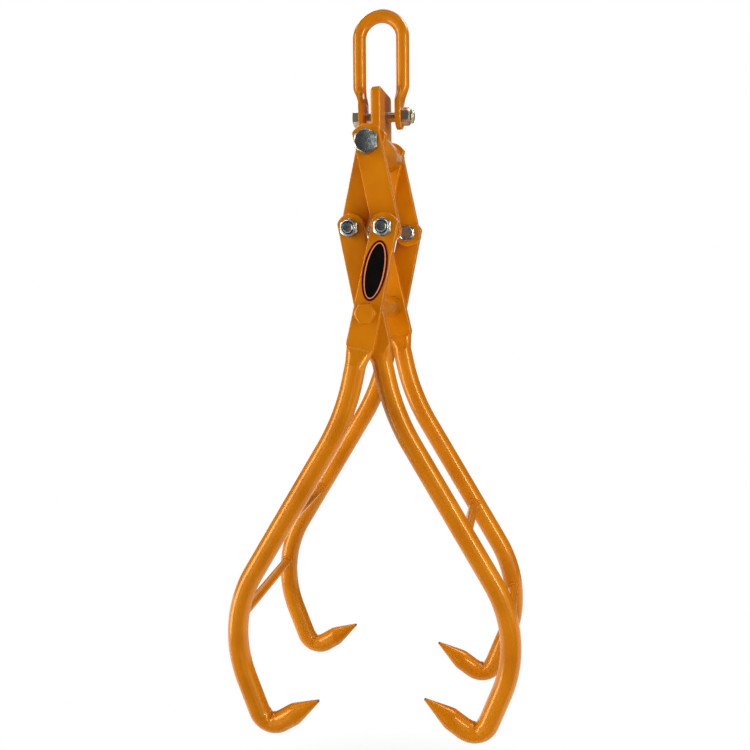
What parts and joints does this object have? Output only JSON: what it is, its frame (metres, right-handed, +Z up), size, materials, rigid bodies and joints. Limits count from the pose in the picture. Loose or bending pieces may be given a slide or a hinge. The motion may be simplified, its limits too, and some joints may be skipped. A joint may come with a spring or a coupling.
{
  "type": "lifting tongs",
  "caption": "Scissor-action log lifting tongs with pointed steel claws on bent round-bar arms, a flat-link head and a swinging shackle for hanging on a hook.",
  "frame": {"origin": "hook seat: the lowest point of the underside of the shackle's crown, where a crane or loader hook carries the tongs", "axes": "+Z up when the tongs hang, +X to the right-hand claws, -Y to the labelled front; the bolts of the scissor lie along Y"},
  "size_m": [0.2856, 0.1745, 0.7147],
  "materials": {
    "paint": "gloss orange powder coat",
    "zinc": "bright zinc plate",
    "nylon": "dark nylon",
    "label": "gloss black film with a thin red and salmon rim"
  },
  "bodies": {
    "shackle": {"lifting_shackle": "paint", "shackle_bolt": "zinc", "shackle_nut": "zinc", "shackle_nut_insert": "nylon"},
    "hanger": {"hanger_tab": "paint", "hanger_sleeve": "paint", "top_pivot_bolt": "zinc", "top_pivot_nut": "zinc", "top_pivot_nut_insert": "nylon"},
    "right_links": {"link_front_right": "paint", "link_rear_right": "paint"},
    "left_links": {"link_front_left": "paint", "link_rear_left": "paint"},
    "left_arm": {"claw_arm_front_left": "paint", "claw_arm_rear_left": "paint", "crossbar_left_upper": "paint", "crossbar_left_lower": "paint", "lower_pivot_bolt": "paint", "lower_pivot_nut": "zinc", "lower_pivot_nut_insert": "nylon", "lower_pivot_spacer": "paint", "label_plate": "label", "joint_bolt_front_right": "zinc", "joint_nut_front_right": "zinc", "joint_nut_insert_front_right": "nylon", "joint_bolt_rear_right": "zinc", "joint_nut_rear_right": "zinc", "joint_nut_insert_rear_right": "nylon"},
    "right_arm": {"claw_arm_front_right": "paint", "claw_arm_rear_right": "paint", "crossbar_right_upper": "paint", "crossbar_right_lower": "paint", "joint_bolt_front_left": "zinc", "joint_nut_front_left": "zinc", "joint_nut_insert_front_left": "nylon", "joint_bolt_rear_left": "zinc", "joint_nut_rear_left": "zinc", "joint_nut_insert_rear_left": "nylon"}
  },
  "joints": [
    {"name": "shackle_swing", "type": "hinge", "parent": "shackle", "child": "hanger", "pos_m": [0, 0, -0.0935], "axis": [1, 0, 0], "range_deg": [-75, 75]},
    {"name": "jaw_opening", "type": "hinge", "parent": "hanger", "child": "right_links", "pos_m": [0, 0, -0.1285], "axis": [0, -1, 0], "range_deg": [-2.2, 60]},
    {"name": "left_links_turn", "type": "hinge", "parent": "hanger", "child": "left_links", "pos_m": [0, 0, -0.1285], "axis": [0, 1, 0], "range_deg": [-2.2, 60]},
    {"name": "left_arm_turn", "type": "hinge", "parent": "right_links", "child": "left_arm", "pos_m": [0.01695, 0, -0.2075], "axis": [0, 1, 0], "range_deg": [-4.4, 120]},
    {"name": "right_arm_turn", "type": "hinge", "parent": "left_links", "child": "right_arm", "pos_m": [-0.01695, 0, -0.2075], "axis": [0, -1, 0], "range_deg": [-4.4, 120]}
  ],
  "couplings": [
    {"joint": "left_links_turn", "follows": "jaw_opening", "ratio": 1},
    {"joint": "left_arm_turn", "follows": "jaw_opening", "ratio": 2},
    {"joint": "right_arm_turn", "follows": "jaw_opening", "ratio": 2}
  ]
}
